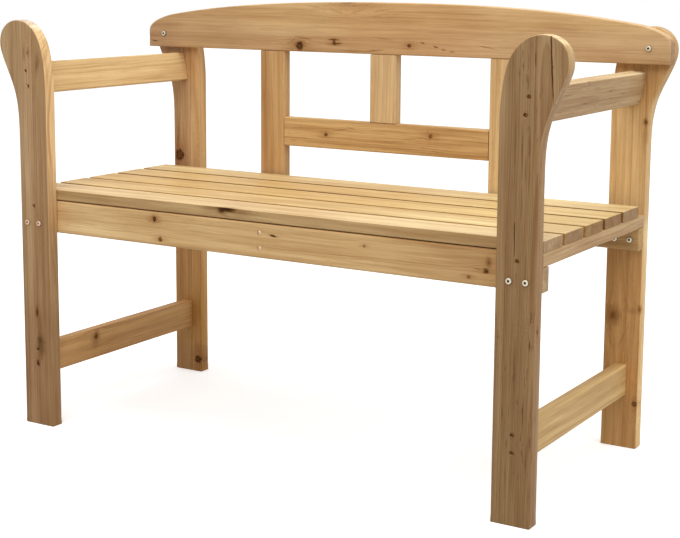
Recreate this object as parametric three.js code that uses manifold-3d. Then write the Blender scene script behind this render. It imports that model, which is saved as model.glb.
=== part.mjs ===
// A two-seat garden bench of planed softwood boards, in millimetres: +Z up, the front towards -Y.
// Left and right are as seen from the front. The origin is on the floor, under the middle of the bench.
import * as THREE from 'three';
import { mergeVertices, toCreasedNormals } from 'three/addons/utils/BufferGeometryUtils.js';
import Module from 'manifold-3d';

// Legs: planks that stand flat across the bench and flare outwards into a rounded top
const legWidth = 65;
const legThickness = 23.5;
const legsAcross = 1000;          // over the outer edges of the straight legs
const sideClearDepth = 422;       // from a front leg's back face to a rear leg's front face
const lobeReach = 41.5;           // how far the rounded top stands out past the straight leg
const lobeHeight = 229;           // from the start of the outward flare up to the crest
const crestRise = 62;             // from the top rail's underside up to the crest
const legEdgeRadius = 2.5;
// The rounded top from the start of the flare over the crest to the inner edge. Each point is
// [share of the width from the inner edge outwards, share of the height above the flare's start].
const lobeShares = [
  [0.61, 0], [0.611, 0.093], [0.613, 0.186], [0.623, 0.279], [0.649, 0.372], [0.698, 0.462], [0.772, 0.548],
  [0.859, 0.632], [0.943, 0.717], [0.998, 0.806], [0.97, 0.898], [0.843, 0.968], [0.656, 0.999],
  [0.458, 0.989], [0.287, 0.942], [0.161, 0.87], [0.084, 0.784], [0.043, 0.693], [0.018, 0.601],
  [0.004, 0.508], [0, 0.415],
];

// Boards that all the rails, armrests, uprights and bearers are cut from
const boardWidth = 55;
const boardThickness = 22;
const boardEdgeRadius = 3;

// Seat
const seatHeight = 430;
const slatCount = 5;
const slatThickness = 18;
const slatGap = 10;
const slatEdgeRadius = 2.5;
const slatFrontClearance = 0.5;   // behind the front legs
const slatRearClearance = 6.5;    // in front of the back frame
const apronWidth = 57.5;          // also of the rear rail
const apronDrop = 2;              // from the slats' undersides down to the apron

// Sides
const armrestDrop = 40;           // from the top rail's underside down to the armrests' middle
const armrestCentreInset = 44;    // from the legs' inner edge outwards
const armrestTilt = THREE.MathUtils.degToRad(11);
const stretcherCentreHeight = 121.5;

// Back
const uprightSpacing = 488.5;     // between the centres of the long uprights
const middleRailRise = 76;        // from the rear rail up to the middle rail's underside
const backOpening = 126;          // from the middle rail up to the top rail's underside
const topRailOverhang = 1.5;      // past the legs' rounded tops
const topRailRise = 94.5;         // height of the rail in its middle
const topRailShoulderRise = 64.8; // height of the rail where its rounded ends begin
const topRailShoulderLength = 56; // how far the rounded ends reach in from the tips
const topRailEndRise = 33;        // height of the rail's square tips
const topRailEdgeRadius = 2.5;
// Handles of the arch: shares of its half length and of its fall. The last is a share of the tip's fall.
const archShares = [[0.231, 0], [0.639, 0.02]];
const tipHandleShare = 0.66;

// Button-head bolts
const boltDiameter = 6;
const boltHeadDiameter = 10.5;
const boltHeadHeight = 3.3;
const boltSocketAcross = 4;
const boltSocketDepth = 2;
const boltTipCover = 5;           // wood left beyond a bolt's tip
const boltPitch = 26.5;
const boltPairInset = 29.5;       // from the legs' outer edge to the middle of a pair
const topRailBoltInset = 38;      // from the rail's tip
const topRailBoltRise = 26.5;
const headRimShare = 0.35;
const headCrownShare = 0.62;

// Countersunk wood screws
const screwDiameter = 4;
const screwHeadDiameter = 6.6;
const screwHeadHeight = 2.4;
const screwTipLength = 6;
const screwLength = 70;
const screwSink = 3;              // how far the long screws' heads lie under the surface
const screwSinkDiameter = 7.2;
const armrestScrewInset = 14;     // from an armrest's edges
const stretcherScrewDrop = 9.25;  // from a stretcher's upper edge to its upper screw
const stretcherScrewPitch = 27.5;
const bearerScrewInset = 30.7;    // from the legs' outer edge
const middleScrewDrop = 15.25;    // from the apron's upper edge to the upper screw
const middleScrewPitch = 25.7;
const shallowSink = 0.5;          // for the screws in the bearers and the apron

// Fits
const jointGap = 0.3;             // between boards that meet
const boreClearance = 0.25;       // round fasteners, on the radius
const overrun = 1;                // how far a cut runs on past a tip, an end or a surface

// Facets of the round forms
const lobeSteps = 2;              // between neighbouring points of a leg's rounded top
const archSteps = 8;
const bevelSteps = 2;
const cornerSteps = 1;
const boltFacets = 12;
const socketSides = 6;
const screwFacets = 10;
const boreFacets = 10;
const creaseAngle = THREE.MathUtils.degToRad(35);

// Places that the sizes above give
const benchDepth = 2 * legThickness + sideClearDepth;
const frontFace = -(benchDepth - boltHeadHeight) / 2;
const frontLegBack = frontFace + legThickness;
const rearLegFront = frontLegBack + sideClearDepth;
const rearFace = rearLegFront + legThickness;
const backFrameFront = rearLegFront - jointGap - boardThickness;
const legOuterEdge = legsAcross / 2;
const legInnerEdge = legOuterEdge - legWidth;
const slatUnderside = seatHeight - slatThickness;
const bearerUnderside = slatUnderside - boardThickness;
const railTop = slatUnderside - apronDrop;
const railUnderside = railTop - apronWidth;
const bearerInnerEdge = legOuterEdge - boardWidth;
const tabTop = bearerUnderside - jointGap;
const slatFieldFront = frontLegBack + slatFrontClearance;
const slatFieldDepth = backFrameFront - slatRearClearance - slatFieldFront;
const slatWidth = (slatFieldDepth - (slatCount - 1) * slatGap) / slatCount;
const middleRailHeight = railTop + middleRailRise;
const topRailHeight = middleRailHeight + boardWidth + backOpening;
const topRailLength = legsAcross + 2 * (lobeReach + topRailOverhang);
const armrestCentreHeight = topRailHeight - armrestDrop;
const legHeight = topRailHeight + crestRise;
const boltPairHeight = (railUnderside + tabTop) / 2;
const apronFront = frontLegBack + jointGap;
const boltLength = legThickness + boardThickness - boltTipCover;

const sides = { left: -1, right: 1 };
const sideNames = Object.keys(sides);
const levels = { lower: -1, upper: 1 };
const alongX = new THREE.Vector3(1, 0, 0);
const alongY = new THREE.Vector3(0, 1, 0);
const alongZ = new THREE.Vector3(0, 0, 1);

const wasm = await Module();
wasm.setup();

// Closed solids from geometries, and back

function toSolid(geometry) {
  const bare = geometry.clone();
  bare.deleteAttribute('normal');
  bare.deleteAttribute('uv');
  const merged = mergeVertices(bare);
  const corners = merged.index.array;
  const triangles = [];
  for (let i = 0; i < corners.length; i += 3) {
    const [a, b, c] = corners.slice(i, i + 3);
    if (a !== b && b !== c && c !== a) triangles.push(a, b, c);
  }
  return new wasm.Manifold(new wasm.Mesh({
    numProp: 3,
    vertProperties: new Float32Array(merged.attributes.position.array),
    triVerts: new Uint32Array(triangles),
  }));
}

function toGeometry(solid) {
  const { vertProperties, triVerts } = solid.getMesh();
  const geometry = new THREE.BufferGeometry();
  geometry.setAttribute('position', new THREE.BufferAttribute(vertProperties, 3));
  geometry.setIndex(new THREE.BufferAttribute(triVerts, 1));
  return geometry;
}

function drilled(geometry, cuts) {
  let solid = toSolid(geometry);
  for (const cut of cuts) solid = solid.subtract(toSolid(cut));
  return toGeometry(solid);
}

// Materials

function woodMaterial(lightness) {
  const colour = new THREE.Color(0xc79a63).multiplyScalar(lightness);
  return new THREE.MeshStandardMaterial({ color: colour, roughness: 0.62, metalness: 0 });
}

function steelMaterial() {
  return new THREE.MeshStandardMaterial({ color: 0xb4b2ac, roughness: 0.35, metalness: 1 });
}

function zincMaterial() {
  return new THREE.MeshStandardMaterial({ color: 0x6f6a60, roughness: 0.5, metalness: 1 });
}

const bench = new THREE.Group();

// Adds a mesh whose geometry is given in the bench's frame. It keeps its origin in its own middle.
function place(name, geometry, material) {
  geometry.computeBoundingBox();
  const middle = geometry.boundingBox.getCenter(new THREE.Vector3());
  geometry.translate(-middle.x, -middle.y, -middle.z);
  const mesh = new THREE.Mesh(toCreasedNormals(geometry, creaseAngle), material);
  mesh.name = name;
  mesh.position.copy(middle);
  bench.add(mesh);
}

// Stands an outline drawn in X and Z upright, with its thickness along Y, its front face at frontY.
function standUp(outline, thickness, edgeRadius, frontY, curveSteps) {
  const geometry = new THREE.ExtrudeGeometry(outline, {
    depth: thickness - 2 * edgeRadius,
    bevelThickness: edgeRadius,
    bevelSize: edgeRadius,
    bevelOffset: -edgeRadius,
    bevelSegments: bevelSteps,
    curveSegments: curveSteps,
  });
  geometry.rotateX(Math.PI / 2);
  geometry.translate(0, frontY + thickness - edgeRadius, 0);
  return geometry;
}

// A board with rounded long edges and square ends. low and high are its corners in the bench's frame,
// and lengthAxis is the axis its grain runs along.
function board(low, high, lengthAxis, edgeRadius = boardEdgeRadius) {
  const size = high.clone().sub(low);
  const inTurn = { x: [size.y, size.z, size.x], y: [size.z, size.x, size.y], z: [size.x, size.y, size.z] };
  const [across, up, length] = inTurn[lengthAxis];
  const section = new THREE.Shape();
  const [x, y] = [across / 2 - edgeRadius, up / 2 - edgeRadius];
  section.absarc(x, y, edgeRadius, 0, Math.PI / 2);
  section.absarc(-x, y, edgeRadius, Math.PI / 2, Math.PI);
  section.absarc(-x, -y, edgeRadius, Math.PI, Math.PI * 1.5);
  section.absarc(x, -y, edgeRadius, Math.PI * 1.5, Math.PI * 2);
  const geometry = new THREE.ExtrudeGeometry(section, {
    depth: length,
    bevelEnabled: false,
    curveSegments: cornerSteps,
  });
  geometry.translate(0, 0, -length / 2);
  const turns = {
    x: new THREE.Matrix4().makeBasis(alongY, alongZ, alongX),
    y: new THREE.Matrix4().makeBasis(alongZ, alongX, alongY),
    z: new THREE.Matrix4(),
  };
  geometry.applyMatrix4(turns[lengthAxis]);
  const middle = low.clone().add(high).divideScalar(2);
  geometry.translate(middle.x, middle.y, middle.z);
  return geometry;
}

// Fasteners, and the bores they sit in

// Turns a profile about an axis that starts at point and runs along direction. The profile lists
// [distance along the axis, radius].
function turned(profile, point, direction, facets) {
  const outline = profile.map(([distance, radius]) => new THREE.Vector2(radius, distance));
  const geometry = new THREE.LatheGeometry(outline, facets);
  geometry.applyQuaternion(new THREE.Quaternion().setFromUnitVectors(alongY, direction));
  geometry.translate(point.x, point.y, point.z);
  return geometry;
}

// A wood screw whose head lies sink under the surface at point
function screw({ point, direction, sink }) {
  const radius = screwDiameter / 2;
  return turned([
    [sink, 0],
    [sink, screwHeadDiameter / 2],
    [sink + screwHeadHeight, radius],
    [sink + screwLength - screwTipLength, radius],
    [sink + screwLength, 0],
  ], point, direction, screwFacets);
}

function screwBore({ point, direction, sink }) {
  const shank = screwDiameter / 2 + boreClearance;
  const mouth = screwSinkDiameter / 2;
  const end = sink + screwLength + overrun;
  return turned([
    [-overrun, 0],
    [-overrun, mouth],
    [sink, mouth],
    [sink + screwHeadHeight + boreClearance, shank],
    [end, shank],
    [end, 0],
  ], point, direction, boreFacets);
}

// A button-head bolt with a hex socket, its head standing on the surface at point
function bolt({ point, direction }) {
  const [head, shank] = [boltHeadDiameter / 2, boltDiameter / 2];
  const body = turned([
    [-boltHeadHeight, 0],
    [-boltHeadHeight, head * headCrownShare],
    [-boltHeadHeight * headRimShare, head],
    [0, head],
    [0, shank],
    [boltLength, shank],
    [boltLength, 0],
  ], point, direction, boltFacets);
  const socketRadius = boltSocketAcross / 2 / Math.cos(Math.PI / socketSides);
  const socket = turned([
    [-boltHeadHeight - overrun, 0],
    [-boltHeadHeight - overrun, socketRadius],
    [boltSocketDepth - boltHeadHeight, socketRadius],
    [boltSocketDepth - boltHeadHeight, 0],
  ], point, direction, socketSides);
  return drilled(body, [socket]);
}

function boltBore({ point, direction }) {
  const radius = boltDiameter / 2 + boreClearance;
  const end = boltLength + overrun;
  return turned([[-overrun, 0], [-overrun, radius], [end, radius], [end, 0]], point, direction, boreFacets);
}

// Where the fasteners are

// Two screws at the same place of one side, driven inwards from the front and from the rear
function fromBothFaces(name, x, z, frontY = frontFace, rearY = rearFace, sink = screwSink) {
  return [
    { name: `${name}_front`, point: new THREE.Vector3(x, frontY, z), direction: alongY, sink },
    { name: `${name}_rear`, point: new THREE.Vector3(x, rearY, z), direction: alongY.clone().negate(), sink },
  ];
}

function armrestScrews(sideName) {
  return Object.entries(levels).flatMap(([level, sign]) => {
    const offset = sign * (boardWidth / 2 - armrestScrewInset);
    return fromBothFaces(
      `${sideName}_armrest_screw_${level}`,
      sides[sideName] * (legInnerEdge + armrestCentreInset + offset * Math.sin(armrestTilt)),
      armrestCentreHeight + offset * Math.cos(armrestTilt),
    );
  });
}

// The heights of two screws, the upper one drop under a board's upper edge
function screwHeights(upperEdge, drop, pitch) {
  return { upper: upperEdge - drop, lower: upperEdge - drop - pitch };
}

function stretcherScrews(sideName) {
  const x = sides[sideName] * (legInnerEdge + legWidth / 2);
  const upperEdge = stretcherCentreHeight + boardWidth / 2;
  const heights = screwHeights(upperEdge, stretcherScrewDrop, stretcherScrewPitch);
  return Object.entries(heights).flatMap(([level, z]) => fromBothFaces(
    `${sideName}_stretcher_screw_${level}`,
    x,
    z,
  ));
}

function bearerScrews(sideName) {
  const x = sides[sideName] * (legOuterEdge - bearerScrewInset);
  return fromBothFaces(`${sideName}_bearer_screw`, x, bearerUnderside + boardThickness / 2);
}

function middleBearerScrews() {
  const heights = screwHeights(railTop, middleScrewDrop, middleScrewPitch);
  return Object.entries(heights).flatMap(([level, z]) => fromBothFaces(
    `middle_bearer_screw_${level}`,
    0,
    z,
    apronFront,
    backFrameFront + boardThickness,
    shallowSink,
  ));
}

// Two bolts side by side through a leg and the end of a rail, their heads on headFace
function boltPair(name, sideName, headFace) {
  return ['inner', 'outer'].map((place, index) => {
    const inset = boltPairInset + (0.5 - index) * boltPitch;
    return {
      name: `${name}_${place}`,
      point: new THREE.Vector3(sides[sideName] * (legOuterEdge - inset), headFace, boltPairHeight),
      direction: alongY,
    };
  });
}

function frontBolts(sideName) {
  return boltPair(`front_${sideName}_bolt`, sideName, frontFace);
}

function rearBolts(sideName) {
  return boltPair(`rear_${sideName}_bolt`, sideName, backFrameFront);
}

function topRailBolt(sideName) {
  const x = sides[sideName] * (topRailLength / 2 - topRailBoltInset);
  return {
    name: `top_rail_${sideName}_bolt`,
    point: new THREE.Vector3(x, backFrameFront, topRailHeight + topRailBoltRise),
    direction: alongY,
  };
}

// Legs

// A leg on one side, its front face at frontY. It is drawn longer below and cut off level, so that its
// foot has square edges.
function leg(side, frontY, bores) {
  const width = legWidth + lobeReach;
  const flareStart = legHeight - lobeHeight;
  const lobe = lobeShares.map(([across, up]) => new THREE.Vector2(
    side * (legInnerEdge + width * across),
    flareStart + lobeHeight * up,
  ));
  const footCut = legEdgeRadius + overrun;
  const outline = new THREE.Shape();
  outline.moveTo(side * legInnerEdge, -footCut);
  outline.lineTo(side * legOuterEdge, -footCut);
  outline.lineTo(lobe[0].x, lobe[0].y);
  outline.splineThru(lobe.slice(1));
  outline.closePath();
  const floor = new THREE.BoxGeometry(2 * width, 2 * legThickness, 2 * footCut);
  floor.translate(side * (legInnerEdge + width / 2), frontY + legThickness / 2, -footCut);
  return drilled(standUp(outline, legThickness, legEdgeRadius, frontY, lobeSteps), [floor, ...bores]);
}

function addLegs() {
  for (const name of sideNames) {
    const side = sides[name];
    const screwBores = [armrestScrews(name), stretcherScrews(name), bearerScrews(name)].flat().map(screwBore);
    const frontBoltBores = frontBolts(name).map(boltBore);
    const rearBoltBores = [...rearBolts(name), topRailBolt(name)].map(boltBore);
    const frontLeg = leg(side, frontFace, [...screwBores, ...frontBoltBores]);
    const rearLeg = leg(side, rearLegFront, [...screwBores, ...rearBoltBores]);
    place(`front_${name}_leg`, frontLeg, woodMaterial(0.9));
    place(`rear_${name}_leg`, rearLeg, woodMaterial(0.95));
  }
}

// Armrests, stretchers and side bearers, each between a front leg and a rear leg

function sideBoard(side, x, z, width, height) {
  const middle = new THREE.Vector3(side * x, (frontLegBack + rearLegFront) / 2, z);
  const half = new THREE.Vector3(width / 2, sideClearDepth / 2 - jointGap, height / 2);
  return board(middle.clone().sub(half), middle.clone().add(half), 'y');
}

function addSides() {
  for (const name of sideNames) {
    const side = sides[name];
    const armrestX = legInnerEdge + armrestCentreInset;
    const armrest = sideBoard(side, armrestX, armrestCentreHeight, boardThickness, boardWidth);
    armrest.translate(-side * armrestX, 0, -armrestCentreHeight);
    armrest.rotateY(side * armrestTilt);
    armrest.translate(side * armrestX, 0, armrestCentreHeight);
    place(`${name}_armrest`, drilled(armrest, armrestScrews(name).map(screwBore)), woodMaterial(1.05));

    const stretcherX = legInnerEdge + legWidth / 2;
    const stretcher = sideBoard(side, stretcherX, stretcherCentreHeight, boardThickness, boardWidth);
    const stretcherBores = stretcherScrews(name).map(screwBore);
    place(`${name}_stretcher`, drilled(stretcher, stretcherBores), woodMaterial(0.95));

    const bearerX = legOuterEdge - boardWidth / 2;
    const bearerHeight = bearerUnderside + boardThickness / 2;
    const bearer = sideBoard(side, bearerX, bearerHeight, boardWidth, boardThickness);
    place(`${name}_bearer`, drilled(bearer, bearerScrews(name).map(screwBore)), woodMaterial(0.92));
  }
}

// Apron and rear rail: boards on edge whose ends step down under the side bearers

function steppedRail(frontY, bores) {
  const rail = board(
    new THREE.Vector3(-legOuterEdge, frontY, railUnderside),
    new THREE.Vector3(legOuterEdge, frontY + boardThickness, railTop),
    'x',
  );
  const length = legOuterEdge - bearerInnerEdge + jointGap + overrun;
  const height = railTop - tabTop + overrun;
  const steps = Object.values(sides).map((side) => {
    const step = new THREE.BoxGeometry(length, boardThickness + 2 * overrun, height);
    const x = side * (bearerInnerEdge - jointGap + length / 2);
    step.translate(x, frontY + boardThickness / 2, tabTop + height / 2);
    return step;
  });
  return drilled(rail, [...steps, ...bores]);
}

function addRails() {
  const middleBores = middleBearerScrews().map(screwBore);
  const apronBores = [...sideNames.flatMap(frontBolts).map(boltBore), ...middleBores];
  const railBores = [...sideNames.flatMap(rearBolts).map(boltBore), ...middleBores];
  place('front_apron', steppedRail(apronFront, apronBores), woodMaterial(1.05));
  place('rear_rail', steppedRail(backFrameFront, railBores), woodMaterial(0.9));
  const bearer = board(
    new THREE.Vector3(-boardThickness / 2, apronFront + boardThickness + jointGap, slatUnderside - boardWidth),
    new THREE.Vector3(boardThickness / 2, backFrameFront - jointGap, slatUnderside),
    'y',
  );
  place('middle_bearer', drilled(bearer, middleBores), woodMaterial(0.92));
}

// Seat slats, lying on the bearers

function addSeat() {
  for (let index = 0; index < slatCount; index += 1) {
    const front = slatFieldFront + index * (slatWidth + slatGap);
    const slat = board(
      new THREE.Vector3(-legOuterEdge, front, slatUnderside),
      new THREE.Vector3(legOuterEdge, front + slatWidth, seatHeight),
      'x',
      slatEdgeRadius,
    );
    place(`seat_slat_${index + 1}`, slat, woodMaterial(1.15));
  }
}

// Back frame, its boards flush with each other on the front faces of the rear legs

function topRail() {
  const half = topRailLength / 2;
  const shoulder = half - topRailShoulderLength;
  const fall = topRailRise - topRailShoulderRise;
  const archHandles = archShares.map(([along, down]) => [shoulder * along, topRailRise - fall * down]);
  const tipHandle = topRailEndRise + (topRailShoulderRise - topRailEndRise) * tipHandleShare;
  const outline = new THREE.Shape();
  outline.moveTo(-half, 0);
  outline.lineTo(half, 0);
  outline.lineTo(half, topRailEndRise);
  outline.bezierCurveTo(half, tipHandle, shoulder, topRailShoulderRise, shoulder, topRailShoulderRise);
  const [[nearX, nearZ], [farX, farZ]] = archHandles;
  outline.bezierCurveTo(farX, farZ, nearX, nearZ, 0, topRailRise);
  outline.bezierCurveTo(-nearX, nearZ, -farX, farZ, -shoulder, topRailShoulderRise);
  outline.bezierCurveTo(-shoulder, topRailShoulderRise, -half, tipHandle, -half, topRailEndRise);
  outline.closePath();
  const rail = standUp(outline, boardThickness, topRailEdgeRadius, backFrameFront, archSteps);
  rail.translate(0, 0, topRailHeight);
  return drilled(rail, sideNames.map(topRailBolt).map(boltBore));
}

// A board of the back frame, between two corners given in X and Z
function backBoard(lowX, lowZ, highX, highZ, lengthAxis) {
  return board(
    new THREE.Vector3(lowX, backFrameFront, lowZ),
    new THREE.Vector3(highX, backFrameFront + boardThickness, highZ),
    lengthAxis,
  );
}

function addBack() {
  const halfBoard = boardWidth / 2;
  const uprightCentre = uprightSpacing / 2;
  const middleRailTop = middleRailHeight + boardWidth;
  const underTopRail = topRailHeight - jointGap;
  place('top_rail', topRail(), woodMaterial(1.05));
  for (const name of sideNames) {
    const middle = sides[name] * uprightCentre;
    const upright = backBoard(middle - halfBoard, railTop + jointGap, middle + halfBoard, underTopRail, 'z');
    place(`${name}_upright`, upright, woodMaterial(0.98));
  }
  const reach = uprightCentre - halfBoard - jointGap;
  place('middle_back_rail', backBoard(-reach, middleRailHeight, reach, middleRailTop, 'x'), woodMaterial(1));
  const centre = backBoard(-halfBoard, middleRailTop + jointGap, halfBoard, underTopRail, 'z');
  place('centre_upright', centre, woodMaterial(1.02));
}

function addFasteners() {
  const bolts = [
    ...sideNames.flatMap(frontBolts),
    ...sideNames.flatMap(rearBolts),
    ...sideNames.map(topRailBolt),
  ];
  const screws = [
    ...sideNames.flatMap(armrestScrews),
    ...sideNames.flatMap(stretcherScrews),
    ...sideNames.flatMap(bearerScrews),
    ...middleBearerScrews(),
  ];
  for (const one of bolts) place(one.name, bolt(one), steelMaterial());
  for (const one of screws) place(one.name, screw(one), zincMaterial());
}

addLegs();
addSides();
addRails();
addSeat();
addBack();
addFasteners();

export default bench;
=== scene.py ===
"""Look of the wooden garden bench: finer boards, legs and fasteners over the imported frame.

Lengths are in millimetres until a mesh is made. +Z is up and the front of the bench faces -Y.
"""
import math
from typing import NamedTuple

import bmesh
import bpy
from mathutils import Matrix, Vector


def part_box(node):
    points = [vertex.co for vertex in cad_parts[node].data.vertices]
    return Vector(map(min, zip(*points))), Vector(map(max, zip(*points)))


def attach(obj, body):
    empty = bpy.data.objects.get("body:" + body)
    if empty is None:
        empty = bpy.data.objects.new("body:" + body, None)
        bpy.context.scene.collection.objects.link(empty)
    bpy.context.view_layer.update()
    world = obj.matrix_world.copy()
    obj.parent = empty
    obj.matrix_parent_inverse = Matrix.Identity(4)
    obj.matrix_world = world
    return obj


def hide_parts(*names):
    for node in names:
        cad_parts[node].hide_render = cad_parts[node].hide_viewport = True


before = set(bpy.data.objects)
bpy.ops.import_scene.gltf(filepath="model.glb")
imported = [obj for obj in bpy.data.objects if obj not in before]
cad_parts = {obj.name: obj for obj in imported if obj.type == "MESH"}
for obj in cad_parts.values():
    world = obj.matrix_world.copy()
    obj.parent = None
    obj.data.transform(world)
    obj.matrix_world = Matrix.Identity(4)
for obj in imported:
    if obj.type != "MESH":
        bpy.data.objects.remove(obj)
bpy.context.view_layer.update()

MM = 0.001
ARC_STEPS = 5          # between the two ends of a rounded corner or arris
SPLINE_STEPS = 5
HOLE_STEPS = 24
BOLT_STEPS = 36
SCREW_STEPS = 28
ARRIS_RUN = 12.0       # from a corner to where the arris has its full radius
EDGE_ARRIS = 2.5       # of the legs and the top rail
SECTION_ARRIS = 0.9    # at the sawn ends of the straight boards
# The mouth of a screw's hole: rows of how much wider than the hole, how far down, and how far
# the normal has tilted towards the axis
HOLE_MOUTH = ((0.5, 0.0, 0.0), (0.15, 0.15, 0.7), (0.0, 0.5, 1.0))
IMAGE_WIDTH = 680
WHITE = (1.0, 1.0, 1.0, 1.0)


# Outlines: closed lists of (across, up, arris), counter-clockwise. arris is the radius of the
# rounded edge between wall and flat face.

def rounded_corners(corners):
    """An outline from corners (across, up, corner radius, arris)."""
    outline = []
    for index, (x, y, radius, arris) in enumerate(corners):
        before, after = corners[index - 1], corners[(index + 1) % len(corners)]
        corner = Vector((x, y))
        inward = (Vector(before[:2]) - corner).normalized()
        onward = (Vector(after[:2]) - corner).normalized()
        if not radius:
            outline.append((x, y, arris))
            continue
        half_turn = inward.angle(onward) / 2
        middle = corner + (inward + onward).normalized() * radius / math.sin(half_turn)
        start = corner + inward * radius / math.tan(half_turn) - middle
        end = corner + onward * radius / math.tan(half_turn) - middle
        sweep = start.angle_signed(end)
        for step in range(ARC_STEPS + 1):
            place = middle + Matrix.Rotation(-sweep * step / ARC_STEPS, 2) @ start
            outline.append((place.x, place.y, arris))
    return outline


def rectangle(width, height, radius, arris):
    x, y = width / 2, height / 2
    return rounded_corners([(x, y, radius, arris), (-x, y, radius, arris),
                            (-x, -y, radius, arris), (x, -y, radius, arris)])


def through(points):
    """A smooth curve through the points."""
    padded = [points[0], *points, points[-1]]
    curve = []
    for a, b, c, d in zip(padded, padded[1:], padded[2:], padded[3:]):
        a, b, c, d = (Vector(point) for point in (a, b, c, d))
        for step in range(SPLINE_STEPS):
            t = step / SPLINE_STEPS
            curve.append(0.5 * (2 * b + (c - a) * t + (2 * a - 5 * b + 4 * c - d) * t * t
                                + (3 * b - a - 3 * c + d) * t ** 3))
    return [(point.x, point.y) for point in curve] + [tuple(points[-1])]


def bezier(start, first, second, end, steps):
    points = []
    for step in range(1, steps + 1):
        t = step / steps
        s = 1 - t
        points.append(tuple(s ** 3 * a + 3 * s * s * t * b + 3 * s * t * t * c + t ** 3 * d
                            for a, b, c, d in zip(start, first, second, end)))
    return points


def wall_normals(outline):
    """Outward normals of an outline's points. The longer edge at a point counts for more."""
    normals = []
    for index in range(len(outline)):
        before, after = outline[index - 1], outline[(index + 1) % len(outline)]
        normal = Vector((after[1] - before[1], before[0] - after[0]))
        normals.append(normal.normalized())
    return normals


# Meshes

def added(name, data):
    """An object in the scene from its data."""
    thing = bpy.data.objects.new(name, data)
    bpy.context.collection.objects.link(thing)
    return thing


def finished(name, bm, normals, place, axes="xyz", turn=0.0):
    """An object from a mesh drawn in its own middle, at place in the bench's frame.

    axes names the bench's axes that the mesh's own X, Y and Z lie along, and turn is about Y.
    """
    bm.verts.index_update()
    bm.normal_update()
    for face in bm.faces:
        outward = sum((normals[vertex.index] for vertex in face.verts), Vector((0, 0, 0)))
        if face.normal.dot(outward) < 0:
            face.normal_flip()
    basis = Matrix([[float(axis == row) for axis in axes] for row in "xyz"])
    mesh = bpy.data.meshes.new(name)
    bm.to_mesh(mesh)
    bm.free()
    for vertex in mesh.vertices:
        vertex.co = basis @ vertex.co * MM
    if basis.determinant() < 0:
        mesh.flip_normals()
    mesh.shade_smooth()
    mesh.normals_split_custom_set_from_vertices([basis @ normal for normal in normals])
    piece = added(name, mesh)
    piece.matrix_world = Matrix.Translation(Vector(place) * MM) @ Matrix.Rotation(turn, 4, "Y")
    return piece


def spokes(steps, length=1.0):
    """Vectors at even steps round Z."""
    turns = [2 * math.pi * step / steps for step in range(steps)]
    return [Vector((length * math.cos(turn), length * math.sin(turn), 0)) for turn in turns]


def edges_round(bm, ring):
    return [bm.edges.get((a, b)) for a, b in zip(ring, ring[1:] + ring[:1])]


def bridge(bm, first, second):
    """Faces between two rings. Either may be one vertex, repeated."""
    for i in range(len(first)):
        j = (i + 1) % len(first)
        corners = dict.fromkeys((first[i], first[j], second[j], second[i]))
        bm.faces.new(list(corners))


def slab(outline, thickness, holes=()):
    """A mesh with the outline in its X and Y, thickness along Z and rounded arrises.

    holes are (x, y, side, radius, depth), with side 1 on the face towards +Z and -1 on the other.
    Returns the mesh and its vertices' normals.
    """
    bm = bmesh.new()
    normals = []

    def loop(points, directions):
        normals.extend(directions)
        return [bm.verts.new(point) for point in points]

    walls = wall_normals(outline)
    loops = []
    for side in (-1, 1):
        angles = [math.pi / 2 * step / ARC_STEPS for step in range(ARC_STEPS + 1)]
        for angle in (reversed(angles) if side < 0 else angles):
            level, upright = math.cos(angle), math.sin(angle)
            inset, drop = 1 - level, 1 - upright
            points, directions = [], []
            for (x, y, arris), n in zip(outline, walls):
                height = side * (thickness / 2 - arris * drop)
                points.append((x - n.x * arris * inset, y - n.y * arris * inset, height))
                directions.append(Vector((n.x * level, n.y * level, side * upright)))
            loops.append(loop(points, directions))
    for first, second in zip(loops, loops[1:]):
        bridge(bm, first, second)

    for side, rim in ((-1, loops[0]), (1, loops[-1])):
        here = [hole for hole in holes if hole[2] == side]
        if not here:
            bm.faces.new(rim)
            continue
        flat = Vector((0, 0, side))
        edges = edges_round(bm, rim)
        for x, y, _, radius, depth in here:
            outward = spokes(HOLE_STEPS)
            rings = []
            for wider, down, tilt in (*HOLE_MOUTH, (0.0, depth, 1.0)):
                wide, height = radius + wider, side * (thickness / 2 - down)
                rings.append(loop(
                    [(x + o.x * wide, y + o.y * wide, height) for o in outward],
                    [(flat * (1 - tilt) - o * tilt).normalized() for o in outward],
                ))
            floor = loop([vertex.co.copy() for vertex in rings[-1]], [flat] * HOLE_STEPS)
            for first, second in zip(rings, rings[1:]):
                bridge(bm, first, second)
            bm.faces.new(floor)
            edges += edges_round(bm, rings[0])
        bmesh.ops.triangle_fill(bm, edges=edges, use_beauty=True, normal=flat)
    return bm, normals


def turned(profile, steps):
    """A mesh turned round Z from (height, radius, slope) rows. slope is the normal's, above level.

    A row with no radius is a point on the axis, and two rows in one place make a sharp edge.
    """
    bm = bmesh.new()
    normals, loops = [], []
    for height, radius, slope in profile:
        if not radius:
            normals.append(Vector((0, 0, math.copysign(1, slope))))
            loops.append([bm.verts.new((0, 0, height))] * steps)
            continue
        ring = []
        for out in spokes(steps):
            normals.append(out * math.cos(slope) + Vector((0, 0, math.sin(slope))))
            ring.append(bm.verts.new(out * radius + Vector((0, 0, height))))
        loops.append(ring)
    for index, (first, second) in enumerate(zip(loops, loops[1:])):
        if profile[index][:2] != profile[index + 1][:2]:
            bridge(bm, first, second)
    return bm, normals


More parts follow.
